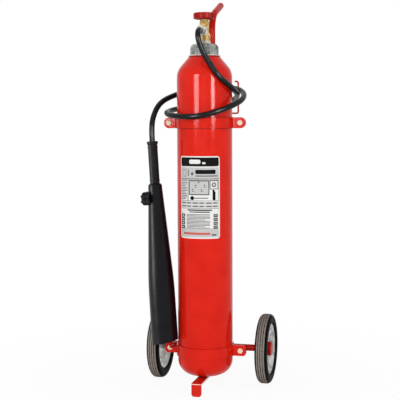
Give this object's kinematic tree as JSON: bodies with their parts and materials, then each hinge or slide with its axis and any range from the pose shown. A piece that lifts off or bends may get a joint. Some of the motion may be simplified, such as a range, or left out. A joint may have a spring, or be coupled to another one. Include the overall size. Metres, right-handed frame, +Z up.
{
  "type": "wheeled fire extinguisher",
  "caption": "Wheeled carbon dioxide fire extinguisher: red steel cylinder on wheels and a bent foot, brass valve with handwheel, coiled hose and black discharge horn.",
  "frame": {"origin": "on the floor, under the middle of the object without its hose", "axes": "+Z up along the cylinder, +X to the right of someone facing the front, +Y to the rear, where the wheels and handle are"},
  "size_m": [0.36, 0.323, 1.1323],
  "materials": {
    "red_paint": "gloss paint over steel",
    "red_plastic": "satin moulded plastic",
    "zinc_plate": "bright zinc plate",
    "brass": "machined brass",
    "white_nylon": "natural nylon",
    "copper_foil": "thin rolled metal",
    "aluminium_tube": "drawn tube",
    "black_plastic": "satin moulded plastic",
    "black_rubber": "satin rubber",
    "tyre": "solid rubber tyre",
    "grey_disc": "plated pressed steel"
  },
  "bodies": {
    "frame": {"axle": "red_paint", "axle_nut_left": "zinc_plate", "axle_nut_right": "zinc_plate", "axle_washer_left": "zinc_plate", "axle_washer_right": "zinc_plate", "band_bolt_lower_left": "zinc_plate", "band_bolt_lower_right": "zinc_plate", "band_bolt_upper_left": "zinc_plate", "band_bolt_upper_right": "zinc_plate", "band_nut_lower_left": "zinc_plate", "band_nut_lower_right": "zinc_plate", "band_nut_upper_left": "zinc_plate", "band_nut_upper_right": "zinc_plate", "burst_disc": "copper_foil", "burst_disc_nut": "brass", "cylinder": "red_paint", "dip_tube": "aluminium_tube", "discharge_hose": "black_rubber", "foot": "red_paint", "gland_nut": "brass", "gland_packing": "white_nylon", "handle_plug": "red_plastic", "handle_tube": "red_paint", "horn_peg": "red_paint", "hose_ferrule": "zinc_plate", "hose_hook": "red_paint", "lower_band_front": "red_paint", "lower_band_rear": "red_paint", "neck_collar_nut": "zinc_plate", "neck_ring": "red_paint", "outlet_nipple": "brass", "outlet_union_nut": "zinc_plate", "upper_band_front": "red_paint", "upper_band_rear": "red_paint", "valve_body": "brass", "valve_lock_ring": "zinc_plate"},
    "wheel_left": {"tyre_left": "tyre", "rim_outer_left": "grey_disc", "rim_inner_left": "grey_disc", "hub_left": "grey_disc", "hub_cap_left": "red_plastic"},
    "wheel_right": {"tyre_right": "tyre", "rim_outer_right": "grey_disc", "rim_inner_right": "grey_disc", "hub_right": "grey_disc", "hub_cap_right": "red_plastic"},
    "handwheel": {"handwheel": "red_plastic", "spindle": "zinc_plate", "handwheel_nut": "zinc_plate"},
    "valve_plug": {"valve_plug": "brass", "plug_seat": "white_nylon"},
    "horn": {"horn": "black_plastic", "grip": "black_rubber", "grip_collar": "black_rubber", "lance_tube": "zinc_plate", "nozzle": "brass"},
    "star_knob": {"star_knob": "black_plastic", "knob_screw": "zinc_plate"}
  },
  "joints": [
    {"name": "wheel_left_spin", "type": "hinge", "parent": "frame", "child": "wheel_left", "pos_m": [-0.162, 0.0418, 0.102], "axis": [1, 0, 0], "continuous": true},
    {"name": "wheel_right_spin", "type": "hinge", "parent": "frame", "child": "wheel_right", "pos_m": [0.162, 0.0418, 0.102], "axis": [1, 0, 0], "continuous": true},
    {"name": "handwheel_turn", "type": "hinge", "parent": "frame", "child": "handwheel", "pos_m": [0, -0.0515, 1.065], "axis": [0, 0, 1], "range_deg": [0, 540]},
    {"name": "plug_lift", "type": "slide", "parent": "handwheel", "child": "valve_plug", "axis": [0, 0, 1], "range_m": [0, 0.003]},
    {"name": "horn_lift", "type": "slide", "parent": "frame", "child": "horn", "axis": [-0.0593, 0, 0.9982], "range_m": [0, 0.06], "deforming": ["discharge_hose"]},
    {"name": "knob_turn", "type": "hinge", "parent": "horn", "child": "star_knob", "pos_m": [-0.15495, -0.1175, 0.55442], "axis": [0, -1, 0], "range_deg": [0, 720]}
  ],
  "couplings": [
    {"joint": "plug_lift", "follows": "handwheel_turn", "m_per_rad": 0.00031831}
  ]
}
